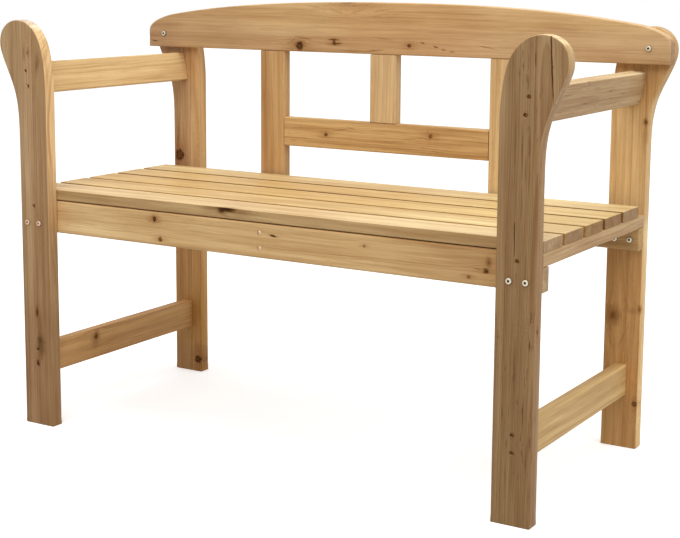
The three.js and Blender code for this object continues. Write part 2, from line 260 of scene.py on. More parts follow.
def recessed(bm, normals, steps, outline, depth):
    """Closes the top of a turned mesh around a recess with a counter-clockwise outline at Z 0.

    Returns the faces inside the recess.
    """
    bm.verts.ensure_lookup_table()
    rim = bm.verts[-steps:]
    up = Vector((0, 0, 1))
    count = len(outline)
    corners = [point + up * rim[0].co.z for point in outline]
    mouth = [bm.verts.new(corner) for corner in corners]
    normals += [up] * count
    edges = edges_round(bm, rim)
    inside = []
    for i in range(count):
        j = (i + 1) % count
        edges.append(bm.edges.new((mouth[i], mouth[j])))
        wall = (corners[i], corners[j], corners[j] - up * depth, corners[i] - up * depth)
        inside.append(bm.faces.new([bm.verts.new(corner) for corner in wall]))
        normals += [up.cross(corners[j] - corners[i]).normalized()] * 4
    inside.append(bm.faces.new([bm.verts.new(corner - up * depth) for corner in corners]))
    normals += [up] * count
    bmesh.ops.triangle_fill(bm, edges=edges, use_beauty=True, normal=up)
    return inside


# Nodes

class Nodes:
    """Short calls that add nodes to a tree. A value is a socket, a number or a tuple."""

    def __init__(self, tree):
        self.tree = tree

    def add(self, kind, inputs=(), **settings):
        node = self.tree.nodes.new(kind)
        for key, value in settings.items():
            setattr(node, key, value)
        for key, value in dict(inputs).items():
            self.plug(node.inputs[key], value)
        return node

    def plug(self, socket, value):
        if isinstance(value, bpy.types.NodeSocket):
            self.tree.links.new(value, socket)
        else:
            socket.default_value = value

    def math(self, operation, *values, clamp=False):
        inputs = dict(enumerate(values))
        node = self.add("ShaderNodeMath", inputs, operation=operation, use_clamp=clamp)
        return node.outputs[0]

    def product(self, first, second):
        return self.math("MULTIPLY", first, second)

    def vector(self, operation, *values):
        node = self.add("ShaderNodeVectorMath", dict(enumerate(values)), operation=operation)
        return node.outputs["Value" if operation in ("LENGTH", "DOT_PRODUCT") else "Vector"]

    def scale(self, vector, factor):
        inputs = {0: vector, "Scale": factor}
        return self.add("ShaderNodeVectorMath", inputs, operation="SCALE").outputs[0]

    def split(self, vector):
        return self.add("ShaderNodeSeparateXYZ", {0: vector}).outputs

    def join(self, x, y, z):
        return self.add("ShaderNodeCombineXYZ", {0: x, 1: y, 2: z}).outputs[0]

    def noise(self, vector, scale=1.0, detail=2.0, roughness=0.5):
        inputs = {"Vector": vector, "Scale": scale, "Detail": detail, "Roughness": roughness}
        return self.add("ShaderNodeTexNoise", inputs).outputs[0]

    def wave(self, place, detail=1.0):
        """Noise along one number."""
        inputs = {"W": place, "Scale": 1.0, "Detail": detail}
        return self.add("ShaderNodeTexNoise", inputs, noise_dimensions="1D").outputs[0]

    def drawn_out(self, place, along, across, detail=2.0, roughness=0.5):
        """Noise drawn out along the grain, from its scales along and across it."""
        scaled = self.vector("MULTIPLY", place, (along, across, across))
        return self.noise(scaled, detail=detail, roughness=roughness)

    def span(self, value, low, high, start, end, curve="LINEAR"):
        """From start at low to end at high."""
        inputs = {"Value": value, "From Min": low, "From Max": high, "To Min": start, "To Max": end}
        return self.add("ShaderNodeMapRange", inputs, interpolation_type=curve).outputs[0]

    def ease(self, value, low, high, start=0.0, end=1.0):
        return self.span(value, low, high, start, end, "SMOOTHSTEP")

    def bell(self, value, width):
        share = self.math("DIVIDE", value, width)
        return self.math("EXPONENT", self.product(self.product(share, share), -1.0))

    def mix(self, factor, first, second, blend="MIX"):
        node = self.add("ShaderNodeMix", data_type="RGBA", blend_type=blend)
        self.plug(node.inputs[0], factor)
        self.plug(node.inputs[6], first)
        self.plug(node.inputs[7], second)
        return node.outputs[2]


def emptied(owner):
    """The nodes of a material or world, with none left in it."""
    owner.use_nodes = True
    owner.node_tree.nodes.clear()
    return Nodes(owner.node_tree)


def node_group(name, inputs, outputs):
    """A new group, its nodes, its inputs by name and its outputs.

    Sockets are written as names in a string, with :v after a vector's and :c after a colour's.
    """
    tree = bpy.data.node_groups.new(name, "ShaderNodeTree")
    kinds = {"": "NodeSocketFloat", "v": "NodeSocketVector", "c": "NodeSocketColor"}
    for direction, sockets in (("INPUT", inputs), ("OUTPUT", outputs)):
        for socket in sockets.split():
            label, _, kind = socket.partition(":")
            tree.interface.new_socket(label, in_out=direction, socket_type=kinds[kind])
    nodes = Nodes(tree)
    source = nodes.add("NodeGroupInput")
    sink = nodes.add("NodeGroupOutput")
    return tree, nodes, source.outputs, sink.inputs


def linear(*colour):
    """A colour written as in a paint program, from 0 to 255."""
    channels = []
    for channel in colour:
        share = channel / 255
        channels.append(share / 12.92 if share <= 0.04045 else ((share + 0.055) / 1.055) ** 2.4)
    return (*channels, 1.0)


def shade(colour, factor):
    return tuple(channel * scale for channel, scale in zip(colour, factor)) + (1.0,)


# Wood, in each board's own lengths: X along the grain, Y across its width and Z through it

EARLY, LATE = linear(229, 193, 137), linear(184, 139, 86)
FLECK_TONE, HALO_TONE = (0.4, 0.31, 0.22, 1.0), (0.66, 0.5, 0.32, 1.0)
# The tone that marks darken to: of real stains, and of the painted shade in the legs' screw holes
STAIN_AND_SHADE_TONE = (0.42, 0.3, 0.17, 1.0)
KNOT_CORE, KNOT_EYE, KNOT_RIM = linear(118, 70, 28), linear(62, 32, 8), linear(56, 28, 6)
DARKEST = linear(66, 38, 11)
MARK_DEPTH = 12.0
SEED_STEP = (317.0, 41.0, 23.0)
STAVE_STEP = (411.0, 27.0, 61.0)


class Knot(NamedTuple):
    """A cut branch, in places from the board's middle. A tilted one is drawn out across it."""
    along: float
    across: float
    radius: float
    strength: float
    tilt: float = 0.0
    depth: float = None    # the board's face, unless given


class Mark(NamedTuple):
    """A fleck, stain, streak or crack, or the painted shade in a screw's hole. long and wide are
    half its size.
    """
    along: float
    across: float
    long: float
    wide: float
    strength: float
    edge: float = 0.0      # the share of its size that is fully dark
    lean: float = 0.0      # across for each millimetre along
    depth: float = None    # the board's face, unless given


def rings_group():
    """Distance from the pith, with the slow wander of a real trunk."""
    tree, n, given, result = node_group("rings", "Place:v Pith:v Taper Wander", "Ring")
    wander = n.drawn_out(given["Place"], 0.0026, 0.009)
    kinks = n.drawn_out(given["Place"], 0.011, 0.03, detail=1.0)
    offset = n.split(n.vector("SUBTRACT", given["Place"], given["Pith"]))
    level = n.vector("LENGTH", n.join(0.0, offset[1], offset[2]))
    drift = n.math("ADD", n.span(wander, 0, 1, -6, 6), n.span(kinks, 0, 1, -1.0, 1.0))
    ring = n.math("MULTIPLY_ADD", drift, given["Wander"], level)
    n.plug(result["Ring"], n.math("MULTIPLY_ADD", offset[0], given["Taper"], ring))
    return tree


def knot_group():
    """A Knot: the rings part around it, and its dark rim stands in a warm halo."""
    tree, n, given, result = node_group(
        "knot", "Place:v Ring Knot Rim Halo Centre:v Axis:v Radius Level Strength",
        "Ring Knot Rim Halo")
    away = n.vector("SUBTRACT", given["Place"], given["Centre"])
    along = n.vector("DOT_PRODUCT", away, given["Axis"])
    across = n.vector("SUBTRACT", away, n.scale(given["Axis"], along))
    ragged = n.span(n.noise(given["Place"], scale=0.16, detail=2.0), 0.25, 0.75, 0.78, 1.22)
    reach = n.math("DIVIDE", n.product(n.vector("LENGTH", across), ragged), given["Radius"])
    longer = n.vector("LENGTH", n.vector("MULTIPLY", across, (0.42, 1.0, 1.0)))
    flow = n.math("DIVIDE", n.product(longer, ragged), given["Radius"])
    squeeze = n.product(n.bell(flow, 2.3), 0.93)
    apart = n.math("SUBTRACT", given["Ring"], given["Level"])
    n.plug(result["Ring"], n.math("SUBTRACT", given["Ring"], n.product(apart, squeeze)))
    core = n.product(n.ease(reach, 0.5, 1.3, 1.0, 0.0), given["Strength"])
    n.plug(result["Knot"], n.math("MAXIMUM", given["Knot"], core))
    rim = n.product(n.bell(n.math("SUBTRACT", reach, 0.8), 0.3), given["Strength"])
    n.plug(result["Rim"], n.math("MAXIMUM", given["Rim"], rim))
    halo = n.product(n.bell(flow, 1.7), given["Strength"])
    n.plug(result["Halo"], n.math("MAXIMUM", given["Halo"], halo))
    return tree


def mark_group():
    """A Mark: fully dark within the share Edge of its Size, and fading out from there."""
    tree, n, given, result = node_group(
        "mark", "Place:v Dark Centre:v Size:v Lean Edge Strength", "Dark")
    away = n.split(n.vector("SUBTRACT", given["Place"], given["Centre"]))
    level = n.math("SUBTRACT", away[1], n.product(away[0], given["Lean"]))
    share = n.vector("LENGTH", n.vector("DIVIDE", n.join(away[0], level, away[2]), given["Size"]))
    ragged = n.drawn_out(given["Place"], 0.08, 0.35, detail=3.0)
    share = n.product(share, n.span(ragged, 0.25, 0.75, 0.65, 1.35))
    dark = n.product(n.ease(share, given["Edge"], 1.0, 1.0, 0.0), given["Strength"])
    n.plug(result["Dark"], n.math("MAXIMUM", given["Dark"], dark))
    return tree


def wood_group():
    """Colour, roughness and height in millimetres from the rings, the fibres and the marks."""
    tree, n, given, result = node_group(
        "wood",
        "Place:v Ring Width Early:c Late:c Contrast Streaks Flecks Knot Rim Halo Dark End",
        "Color:c Roughness Gloss Height")
    place = given["Place"]
    count = n.math("DIVIDE", given["Ring"], given["Width"])
    count = n.math("MULTIPLY_ADD", n.wave(n.product(count, 0.4)), 1.6, count)
    year = n.math("FRACT", count)
    late = n.product(n.ease(year, 0.15, 0.8), n.ease(year, 0.86, 1.0, 1.0, 0.0))
    strong = n.wave(n.product(n.math("FLOOR", count), 0.77))
    late = n.product(late, n.span(strong, 0.3, 0.7, 0.2, 1.2))

    band = n.wave(n.product(count, 0.16), detail=2.0)
    streaks = n.drawn_out(place, 0.003, 0.085, detail=5.0, roughness=0.55)
    fibres = n.drawn_out(place, 0.012, 0.42, detail=3.0, roughness=0.6)
    fine = n.drawn_out(place, 0.07, 2.4)
    patch = n.drawn_out(place, 0.006, 0.022)
    cloud = n.drawn_out(place, 0.009, 0.03, detail=3.0)

    near = n.math("MULTIPLY_ADD", given["Halo"], 1.2, 1.0)
    warm = n.product(n.product(late, given["Contrast"]), near)
    warm = n.math("ADD", warm, n.span(band, 0.3, 0.7, -0.12, 0.16))
    broad = n.span(streaks, 0.3, 0.7, -0.36, 0.36)
    grain = n.math("ADD", broad, n.span(fibres, 0.3, 0.7, -0.17, 0.19))
    warm = n.math("ADD", warm, n.product(grain, given["Streaks"]))
    warm = n.math("ADD", warm, n.span(cloud, 0.3, 0.7, 0.24, 0.48), clamp=True)
    colour = n.mix(warm, given["Early"], given["Late"])
    tint = n.span(fine, 0.3, 0.7, 1.04, 0.95)
    colour = n.mix(1.0, colour, n.join(tint, tint, tint), "MULTIPLY")

    dashes = n.drawn_out(place, 0.045, 0.6)
    dashes = n.product(n.ease(dashes, 0.62, 0.73), n.ease(patch, 0.44, 0.58))
    dashes = n.product(dashes, given["Flecks"])
    colour = n.mix(dashes, colour, n.mix(1.0, colour, FLECK_TONE, "MULTIPLY"))

    eye = n.noise(place, scale=0.3, detail=2.0)
    halo = n.mix(1.0, colour, HALO_TONE, "MULTIPLY")
    colour = n.mix(n.product(given["Halo"], 0.85), colour, halo)
    core = n.mix(n.ease(eye, 0.4, 0.62), KNOT_CORE, KNOT_EYE)
    colour = n.mix(n.product(given["Knot"], 0.9), colour, core)
    rim = n.product(given["Rim"], n.ease(eye, 0.3, 0.6, 0.35, 0.9))
    colour = n.mix(rim, colour, KNOT_RIM)
    # Marks darken here: real stains, and the painted shade in the legs' screw holes
    stained_and_shaded = n.mix(1.0, colour, STAIN_AND_SHADE_TONE, "MULTIPLY")
    colour = n.mix(given["Dark"], colour, stained_and_shaded)
    colour = n.mix(n.ease(given["Dark"], 0.65, 1.0), colour, DARKEST)
    n.plug(result["Color"], colour)

    rough = n.span(fibres, 0.3, 0.7, 0.52, 0.66)
    rough = n.math("SUBTRACT", rough, n.product(late, 0.06))
    n.plug(result["Roughness"], n.math("ADD", rough, n.product(given["End"], 0.2)))
    dull = n.math("MAXIMUM", given["Knot"], given["Dark"])
    dull = n.math("MAXIMUM", dull, given["Rim"], clamp=True)
    n.plug(result["Gloss"], n.math("MULTIPLY_ADD", dull, -0.24, 0.28))

    height = n.product(late, 0.04)
    height = n.math("ADD", height, n.span(fine, 0.3, 0.7, -0.03, 0.03))
    height = n.math("ADD", height, n.span(fibres, 0.3, 0.7, -0.04, 0.04))
    height = n.math("SUBTRACT", height, n.product(given["Rim"], 0.12))
    height = n.math("SUBTRACT", height, n.product(given["Dark"], 0.3))
    n.plug(result["Height"], height)
    return tree


RINGS, KNOT, MARK, WOOD = rings_group(), knot_group(), mark_group(), wood_group()


def material(name):
    made = bpy.data.materials.new(name)
    nodes = emptied(made)
    shader = nodes.add("ShaderNodeBsdfPrincipled")
    nodes.add("ShaderNodeOutputMaterial", {"Surface": shader.outputs[0]})
    return made, nodes, shader


def board_tones(n, parts, outward, blurred, staves, fades, walls, ends):
    """The colours that the wood is multiplied by, painted light and shade on the walls among them,
    and how much of a face is end grain.
    """
    tones = []
    for across, tone in staves:
        past = n.math("GREATER_THAN", parts[1], across)
        tones.append(n.mix(past, WHITE, (*tone, 1.0)))
    if fades:
        blur = n.span(n.drawn_out(blurred, 0.006, 0.05, detail=3.0), 0.25, 0.75, -9, 9)
    # Slow changes of tone: some the wood's own, some painted shade
    for axis, low, high, far_tone in fades:
        share = n.ease(n.math("ADD", parts[axis], blur), low, high)
        tones.append(n.mix(share, WHITE, (*far_tone, 1.0)))
    # Painted light and shade on the sides that face along an axis, changing along the board
    for axis, sign, tone, *fading in walls:
        share = n.ease(n.product(outward[axis], float(sign)), 0.45, 0.8)
        shown = (*tone, 1.0)
        for low, high, far_tone in fading:
            shown = n.mix(n.ease(parts[0], low, high), shown, (*far_tone, 1.0))
        tones.append(n.mix(share, WHITE, shown))
    end = n.ease(n.math("ABSOLUTE", outward[0]), 0.55, 0.95)
    tones.append(n.mix(end, WHITE, (*ends, 1.0)))
    return tones, end


def wood(name, axes, seed, pith=(70, 30), ring=3.4, tone=(1, 1, 1), contrast=0.28, streaks=1.0,
         flecks=0.3, wander=1.0, taper=0.01, face=0.0, knots=(), marks=(), staves=(), fades=(),
         walls=(), ends=(0.62, 0.57, 0.56)):
    """A board's own wood, with places from the board's middle.

    axes names the object's axes that the grain's length, the width and the depth lie along, and
    pith is where the trunk's middle would be, across the width and through the depth. ring is a
    year's width. face is the depth at which knots and marks lie. staves are (across, tone) where
    another strip is glued on. fades are (axis, from, to, tone), where the tone changes slowly, with
    axis 0 along the board and 1 across it: some are the wood's own tone, some painted shade, as
    under the seat. walls are (axis, sign, tone), painted light and shade on the sides that face
    along an axis, with (from, to, tone) added where one changes along the board. ends is the tone
    of the end grain, and on the legs painted light on the faces that look up and down.
    """
    made, n, shader = material(name)
    coordinates = n.add("ShaderNodeTexCoord").outputs
    order = ["xyz".index(axis) for axis in axes]
    own = n.split(n.scale(coordinates["Object"], 1 / MM))
    parts = [own[i] for i in order]
    place = n.join(*parts)
    outward = n.split(coordinates["Normal"])
    outward = [outward[i] for i in order]

    start = Vector([seed * step for step in SEED_STEP])
    shifted = n.vector("ADD", place, start)
    dark = 0.0
    for index, (across, _) in enumerate(staves):
        past = n.math("GREATER_THAN", parts[1], across)
        step = (STAVE_STEP[0], STAVE_STEP[1] + 9 * index, STAVE_STEP[2])
        step = n.vector("MULTIPLY", n.join(past, past, past), step)
        shifted = n.vector("ADD", shifted, step)
        from_seam = n.math("ABSOLUTE", n.math("SUBTRACT", parts[1], across))
        dark = n.math("MAXIMUM", n.ease(from_seam, 0.1, 0.9, 0.35, 0.0), dark)
    tones, end = board_tones(n, parts, outward, shifted, staves, fades, walls, ends)

    def grouped(tree, **inputs):
        return n.add("ShaderNodeGroup", inputs, node_tree=tree).outputs

    level = grouped(RINGS, Place=shifted, Pith=start + Vector((0, *pith)), Taper=taper,
                    Wander=wander)["Ring"]
    knot, rim, halo = 0.0, 0.0, 0.0
    for branch in knots:
        depth = face if branch.depth is None else branch.depth
        from_pith = math.hypot(branch.across - pith[0], depth - pith[1])
        level, knot, rim, halo = grouped(
            KNOT, Place=place, Ring=level, Knot=knot, Rim=rim, Halo=halo,
            Centre=(branch.along, branch.across, depth),
            Axis=(0.0, math.sin(branch.tilt), math.cos(branch.tilt)), Radius=branch.radius,
            Strength=branch.strength, Level=from_pith + branch.along * taper)
    for mark in marks:
        depth = face if mark.depth is None else mark.depth
        dark = grouped(
            MARK, Place=place, Dark=dark, Centre=(mark.along, mark.across, depth),
            Size=(mark.long, mark.wide, MARK_DEPTH), Lean=mark.lean, Edge=mark.edge,
            Strength=mark.strength)["Dark"]

    grain = grouped(
        WOOD, Place=shifted, Ring=level, Width=ring, Early=shade(EARLY, tone),
        Late=shade(LATE, tone), Contrast=contrast, Streaks=streaks, Flecks=flecks, Knot=knot,
        Rim=rim, Halo=halo, Dark=dark, End=end)
    colour = grain["Color"]
    for factor in tones:
        colour = n.mix(1.0, colour, factor, "MULTIPLY")
    relief = {"Height": grain["Height"], "Distance": MM, "Strength": 0.9}
    n.plug(shader.inputs["Base Color"], colour)
    n.plug(shader.inputs["Roughness"], grain["Roughness"])
    n.plug(shader.inputs["Normal"], n.add("ShaderNodeBump", relief).outputs[0])
    n.plug(shader.inputs["Specular IOR Level"], grain["Gloss"])
    return made


def steel(name, colour, rough, grime, rim, core=0.0):
    """Turned steel, with fine rings round its axis, spots of dirt, and painted shade darkening
    towards radius rim, where the head meets the wood, and within core, in the socket.

    rough is the lowest and the highest roughness of the clean metal.
    """
    made, n, shader = material(name)
    place = n.add("ShaderNodeTexCoord").outputs["Object"]
    parts = n.split(place)
    radius = n.vector("LENGTH", n.join(parts[0], parts[1], 0.0))
    lines = n.wave(n.product(radius, 9000.0), detail=3.0)
    spots = n.noise(place, scale=700.0, detail=3.0)
    dirt_and_shade = n.product(n.ease(spots, 0.5, 0.7), grime)
    # Painted shade towards the rim of the head, where it meets the wood, and within core, in the
    # socket
    edge = n.ease(radius, rim * 0.72 * MM, rim * MM)
    dirt_and_shade = n.math("MAXIMUM", dirt_and_shade, n.product(edge, 0.8))
    if core:
        dirt_and_shade = n.math("MAXIMUM", dirt_and_shade, n.ease(radius, core * MM, core * 0.85 * MM))
    n.plug(shader.inputs["Base Color"], n.mix(dirt_and_shade, colour, DIRT_AND_SHADE))
    dulled = n.math("ADD", n.span(lines, 0.3, 0.7, *rough), n.product(dirt_and_shade, 0.25))
    n.plug(shader.inputs["Roughness"], dulled)
    relief = {"Height": lines, "Distance": 0.02 * MM, "Strength": 0.5}
    n.plug(shader.inputs["Normal"], n.add("ShaderNodeBump", relief).outputs[0])
    n.plug(shader.inputs["Metallic"], 0.75)
    return made


# The colour of the dirt spots, and of the painted shade at the heads' rims and in their sockets
DIRT_AND_SHADE = linear(74, 60, 46)
BOLT_STEEL = steel("bolt_steel", linear(212, 202, 178), (0.3, 0.48), 0.35, 5.25, core=2.3)
WARM_STEEL = steel("warm_bolt_steel", linear(208, 178, 150), (0.35, 0.5), 0.3, 5.6, core=1.5)
# Brown: a painted reflection of the wooden walls of the holes that these screws sit in
SCREW_STEEL = steel("screw_steel", linear(132, 76, 34), (0.5, 0.7), 0.7, 3.6)
BRIGHT_STEEL = steel("bright_screw_steel", linear(214, 182, 146), (0.2, 0.32), 0.2, 4.9)
# Dark steel: painted shade in the screws' cross recesses
SHADED_RECESS = steel("shaded_recess_steel", linear(62, 50, 40), (0.5, 0.7), 0.5, 6.0)


# Pieces

def fit(piece, node, made):
    piece.data.materials.append(made)
    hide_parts(node)
    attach(piece, "root")


def middle_and_size(node):
    low, high = (Vector(corner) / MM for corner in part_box(node))
    return (low + high) / 2, high - low


def board(node, axes, slot="board_wood", arris=3.0, **look):
    """A straight board whose length, width and depth lie along axes."""
    middle, size = middle_and_size(node)
    length, width, depth = (size["xyz".index(axis)] for axis in axes)
    bm, normals = slab(rectangle(width, depth, arris, SECTION_ARRIS), length)
    piece = finished(node + "_look", bm, normals, middle, axes[1] + axes[2] + axes[0])
    fit(piece, node, wood(node + "_wood", axes, **look))


def armrest(node, side, **look):
    """A board along Y that leans outwards, with side 1 on the right and -1 on the left."""
    middle, size = middle_and_size(node)
    bm, normals = slab(rectangle(*ARMREST_SECTION, 3.0, SECTION_ARRIS), size.y)
    piece = finished(node + "_look", bm, normals, middle, "zxy", side * ARMREST_TILT)
    look = {"face": ARMREST_SECTION[1] / 2, **look}
    fit(piece, node, wood(node + "_wood", "yzx", **look))


def elevation(node, outline, thickness, axes, look, holes=()):
    """A piece sawn to an outline in X and Z, given in the bench's frame."""
    middle, _ = middle_and_size(node)
    drawn = [(x - middle.x, z - middle.z, arris) for x, z, arris in outline]
    here = [(x - middle.x, z - middle.z, *rest) for x, z, *rest in holes]
    bm, normals = slab(drawn, thickness, here)
    piece = finished(node + "_look", bm, normals, middle, "xzy")
    look = {"face": -thickness / 2, **look}
    fit(piece, node, wood(node + "_wood", axes, **look))


ARMREST_TILT, ARMREST_SECTION = math.radians(11), (55.0, 22.0)
LEG_INNER, LEG_OUTER, LEG_TOP = 435.0, 500.0, 729.0
LEG_THICKNESS, RAIL_THICKNESS = 23.5, 22.0
LOBE_REACH, LOBE_HEIGHT = 41.5, 229.0
LOBE_SHARES = [
    (0.61, 0), (0.611, 0.093), (0.613, 0.186), (0.623, 0.279), (0.649, 0.372), (0.698, 0.462),
    (0.772, 0.548), (0.859, 0.632), (0.943, 0.717), (0.998, 0.806), (0.97, 0.898),
    (0.843, 0.968), (0.656, 0.999), (0.458, 0.989), (0.287, 0.942), (0.161, 0.87),
    (0.084, 0.784), (0.043, 0.693), (0.018, 0.601), (0.004, 0.508), (0, 0.415),
]
SCREW_HOLE = (3.3, 3.1)    # radius and depth
# Places (x, z) of the screws in a right-hand leg: the armrest's, the stretcher's, the bearer's
LEG_SCREWS = ((476.4, 613.8), (481.6, 640.3), (467.5, 139.75), (467.5, 112.25), (469.3, 401.0))


def leg(node, sign, hole_side, side, top, marks=(), **look):
    """A leg, on the right if sign is 1, with painted shade in and round each screw's hole.

    hole_side is the face with the holes, side the painted light on both edges and top the painted
    light on the faces that look up and down, such as the lobe's top rim.
    """
    width = LEG_OUTER - LEG_INNER + LOBE_REACH
    flare = LEG_TOP - LOBE_HEIGHT
    lobe = through([(LEG_INNER + width * across, flare + LOBE_HEIGHT * up)
                    for across, up in LOBE_SHARES])
    foot = rounded_corners([(LEG_INNER, 0, 1.5, 1.2), (LEG_OUTER, 0, 3.0, 1.2),
                            (LEG_OUTER, flare, 0, 0), (LEG_INNER, flare, 0, 0)])
    outline = [(x, z, arris) for x, z, arris in foot if z < flare]
    outline += [(LEG_OUTER, ARRIS_RUN, EDGE_ARRIS)]
    outline += [(x, z, EDGE_ARRIS) for x, z in lobe]
    outline += [(LEG_INNER, ARRIS_RUN, EDGE_ARRIS)]
    outline = [(sign * x, z, arris) for x, z, arris in outline]
    if sign < 0:
        outline.reverse()
    middle, _ = middle_and_size(node)
    holes = [(sign * x, z, hole_side, *SCREW_HOLE) for x, z in LEG_SCREWS]
    # Painted shade in and round each screw's hole, over its mouth and walls
    hole_shade = tuple(Mark(z - middle.z, x - middle.x, 5.4, 4.8, 0.5, 0.4,
                        depth=hole_side * LEG_THICKNESS / 2) for x, z, *_ in holes)
    look = {"marks": marks + hole_shade, "walls": ((1, 1, *side), (1, -1, *side)), "ends": top, **look}
    elevation(node, outline, LEG_THICKNESS, "zxy", look, holes)


def rail(node, **look):
    """The apron or the rear rail, its ends stepped down under the side bearers."""
    low, top, step, inner, end = 352.5, 410.0, 389.7, 444.7, 500.0
    right = [(end, low, 1.4, 1.0), (end, step, 1.4, 1.0),
             (inner, step, 0.5, 1.0), (inner, top, 1.4, 1.0)]
    mirrored = [(-x, z, radius, arris) for x, z, radius, arris in reversed(right)]
    corners = rounded_corners(right + mirrored)
    outline = []
    for index, (x, z, arris) in enumerate(corners):
        outline.append((x, z, arris))
        after = corners[(index + 1) % len(corners)]
        if abs(after[0] - x) > end:
            inwards = math.copysign(ARRIS_RUN, after[0] - x)
            outline += [(x + inwards, z, 3.0), (after[0] - inwards, z, 3.0)]
    elevation(node, outline, RAIL_THICKNESS, "xzy", look)


def top_rail(**look):
    """The arched rail. Its heights are above base."""
    half, shoulder, base = 543.0, 487.0, 667.0
    rise, shoulder_rise, end_rise = 94.5, 64.8, 33.0
    fall = rise - shoulder_rise
    corner = (shoulder, shoulder_rise)
    tip = bezier((half, end_rise), (half, end_rise + (shoulder_rise - end_rise) * 0.66),
                 corner, corner, 10)
    arch = bezier(corner, (shoulder * 0.639, rise - fall * 0.02), (shoulder * 0.231, rise),
                  (0, rise), 24)
    upper = [(half, end_rise), *tip, *arch]
    upper += [(-x, z) for x, z in reversed(upper[:-1])]
    lower = rounded_corners([(-half, 0, 2.0, 1.5), (half, 0, 2.0, 1.5),
                             (half, end_rise, 0, 0), (-half, end_rise, 0, 0)])
    lower = [point for point in lower if point[1] < end_rise]
    outline = [point for point in lower if point[0] < 0]
    outline += [(ARRIS_RUN - half, 0, EDGE_ARRIS), (half - ARRIS_RUN, 0, EDGE_ARRIS)]
    outline += [point for point in lower if point[0] > 0]
    outline += [(x, z, EDGE_ARRIS) for x, z in upper]
    outline = [(x, z + base, arris) for x, z, arris in outline]
    elevation("top_rail", outline, RAIL_THICKNESS, "xzy", look)


def bolt(node):
    """A button-head bolt with a hex socket, its head towards the front."""
    middle, size = middle_and_size(node)
    head, rise, shank, chamfer, socket_width, socket_depth = 5.25, 3.3, 3.0, 1.0, 4.0, 1.3
    tip = rise - size.y
    profile = [(tip, 0, -1), (tip, shank * 0.85, -1.2), (tip + chamfer, shank, 0), (0, shank, 0),
               (0, shank, -math.pi / 2), (0, head * 0.97, -math.pi / 2), (0.2, head, 0)]
    for angle in range(0, 91, 18):
        turn = math.radians(angle)
        height, radius = 0.3 + 0.7 * math.sin(turn), 0.56 + 0.44 * math.cos(turn)
        profile.append((rise * height, head * radius, turn))
    bm, normals = turned(profile, BOLT_STEPS)
    corner = socket_width / 2 / math.cos(math.pi / 6)
    hexagon = spokes(6, corner)
    recessed(bm, normals, BOLT_STEPS, hexagon, socket_depth)
    place = Vector((middle.x, middle.y - size.y / 2 + rise, middle.z))
    made = WARM_STEEL if "front_left" in node else BOLT_STEEL
    facing(node, bm, normals, place, -1, made)


def screw(node, side, bright=False):
    """A screw with a cross recess, its head towards side along Y. A bright one's head is domed."""
    middle, size = middle_and_size(node)
    shank, point, neck, dome, recess_depth = 2.0, 6.0, 2.6, 1.5, 1.0
    head, reach = (4.2, 0.36) if bright else (3.3, 0.62)
    profile = [(-size.y, 0, -1), (point - size.y, shank, -0.3), (-neck, shank, 0),
               (-0.35, head, -0.8)]
    if bright:
        turns = [math.radians(15 * i) for i in range(5)]
        profile += [(dome * math.sin(turn), head * math.cos(turn), turn) for turn in turns]
    else:
        profile += [(-0.1, head, 0.4), (0, head - 0.3, math.pi / 2)]
    bm, normals = turned(profile, SCREW_STEPS)
    cross = []
    long, half = head * reach, head * 0.12
    for out in spokes(4):
        aside = Vector((-out.y, out.x, 0))
        cross += [out * long - aside * half, out * long + aside * half, out * half + aside * half]
    # The recess's faces take the second material, its painted shade
    for face in recessed(bm, normals, SCREW_STEPS, cross, recess_depth):
        face.material_index = 1
    place = Vector((middle.x, middle.y + side * (size.y / 2 + (0.2 if bright else 0.0)), middle.z))
    made = BRIGHT_STEEL if bright else SCREW_STEEL
    piece = facing(node, bm, normals, place, side, made)
    piece.data.materials.append(SHADED_RECESS)


def facing(node, bm, normals, place, side, made):
    """Puts a mesh drawn along Z at place with its head towards side along Y."""
    piece = finished(node + "_look", bm, normals, (0, 0, 0))
    turn = Matrix.Rotation(math.pi / 2 if side < 0 else -math.pi / 2, 4, "X")
    piece.matrix_world = Matrix.Translation(place * MM) @ turn
    fit(piece, node, made)
    return piece


SLANTED, SIDEWAYS = math.radians(40), math.radians(90)    # tilts of branches

# On each leg, side is painted light on both edges, lessening where it fades along the leg, and top
# painted light on the lobe's top rim
leg("front_left_leg", -1, -1, seed=1.3, pith=(-60, 90), tone=(0.62, 0.58, 0.61), ring=2.8,
    contrast=0.4, flecks=0.5, top=(1.55, 2, 2.9),
    side=((1.9, 2.2, 2.45), (200, -110, (1.22, 1.27, 1.37))),
    staves=((0, (1.12, 1.12, 1.14)), (22, (0.84, 0.8, 0.72))),
    fades=((0, 190, 280, (1.02, 1.04, 1)), (0, 20, 120, (1.12, 1.15, 1.24)),
           (0, -110, -180, (0.88, 0.84, 0.8))),
    knots=(Knot(308, 13, 3, 0.4), Knot(-248, 20, 3, 0.7), Knot(-207, 25, 4.5, 0.35)),
    marks=(Mark(289, 35, 28, 8, 0.6, lean=0.1), Mark(305, 4.5, 20, 6, 0.4),
           Mark(-156.5, 21, 20, 6.5, 0.9, 0.1), Mark(-217, 28, 34, 14, 0.66, 0.3),
           Mark(-185, 26, 42, 9, 0.36, 0.3), Mark(-170, 23, 70, 6, 0.4),
           Mark(-90, 24, 70, 4, 0.3)))
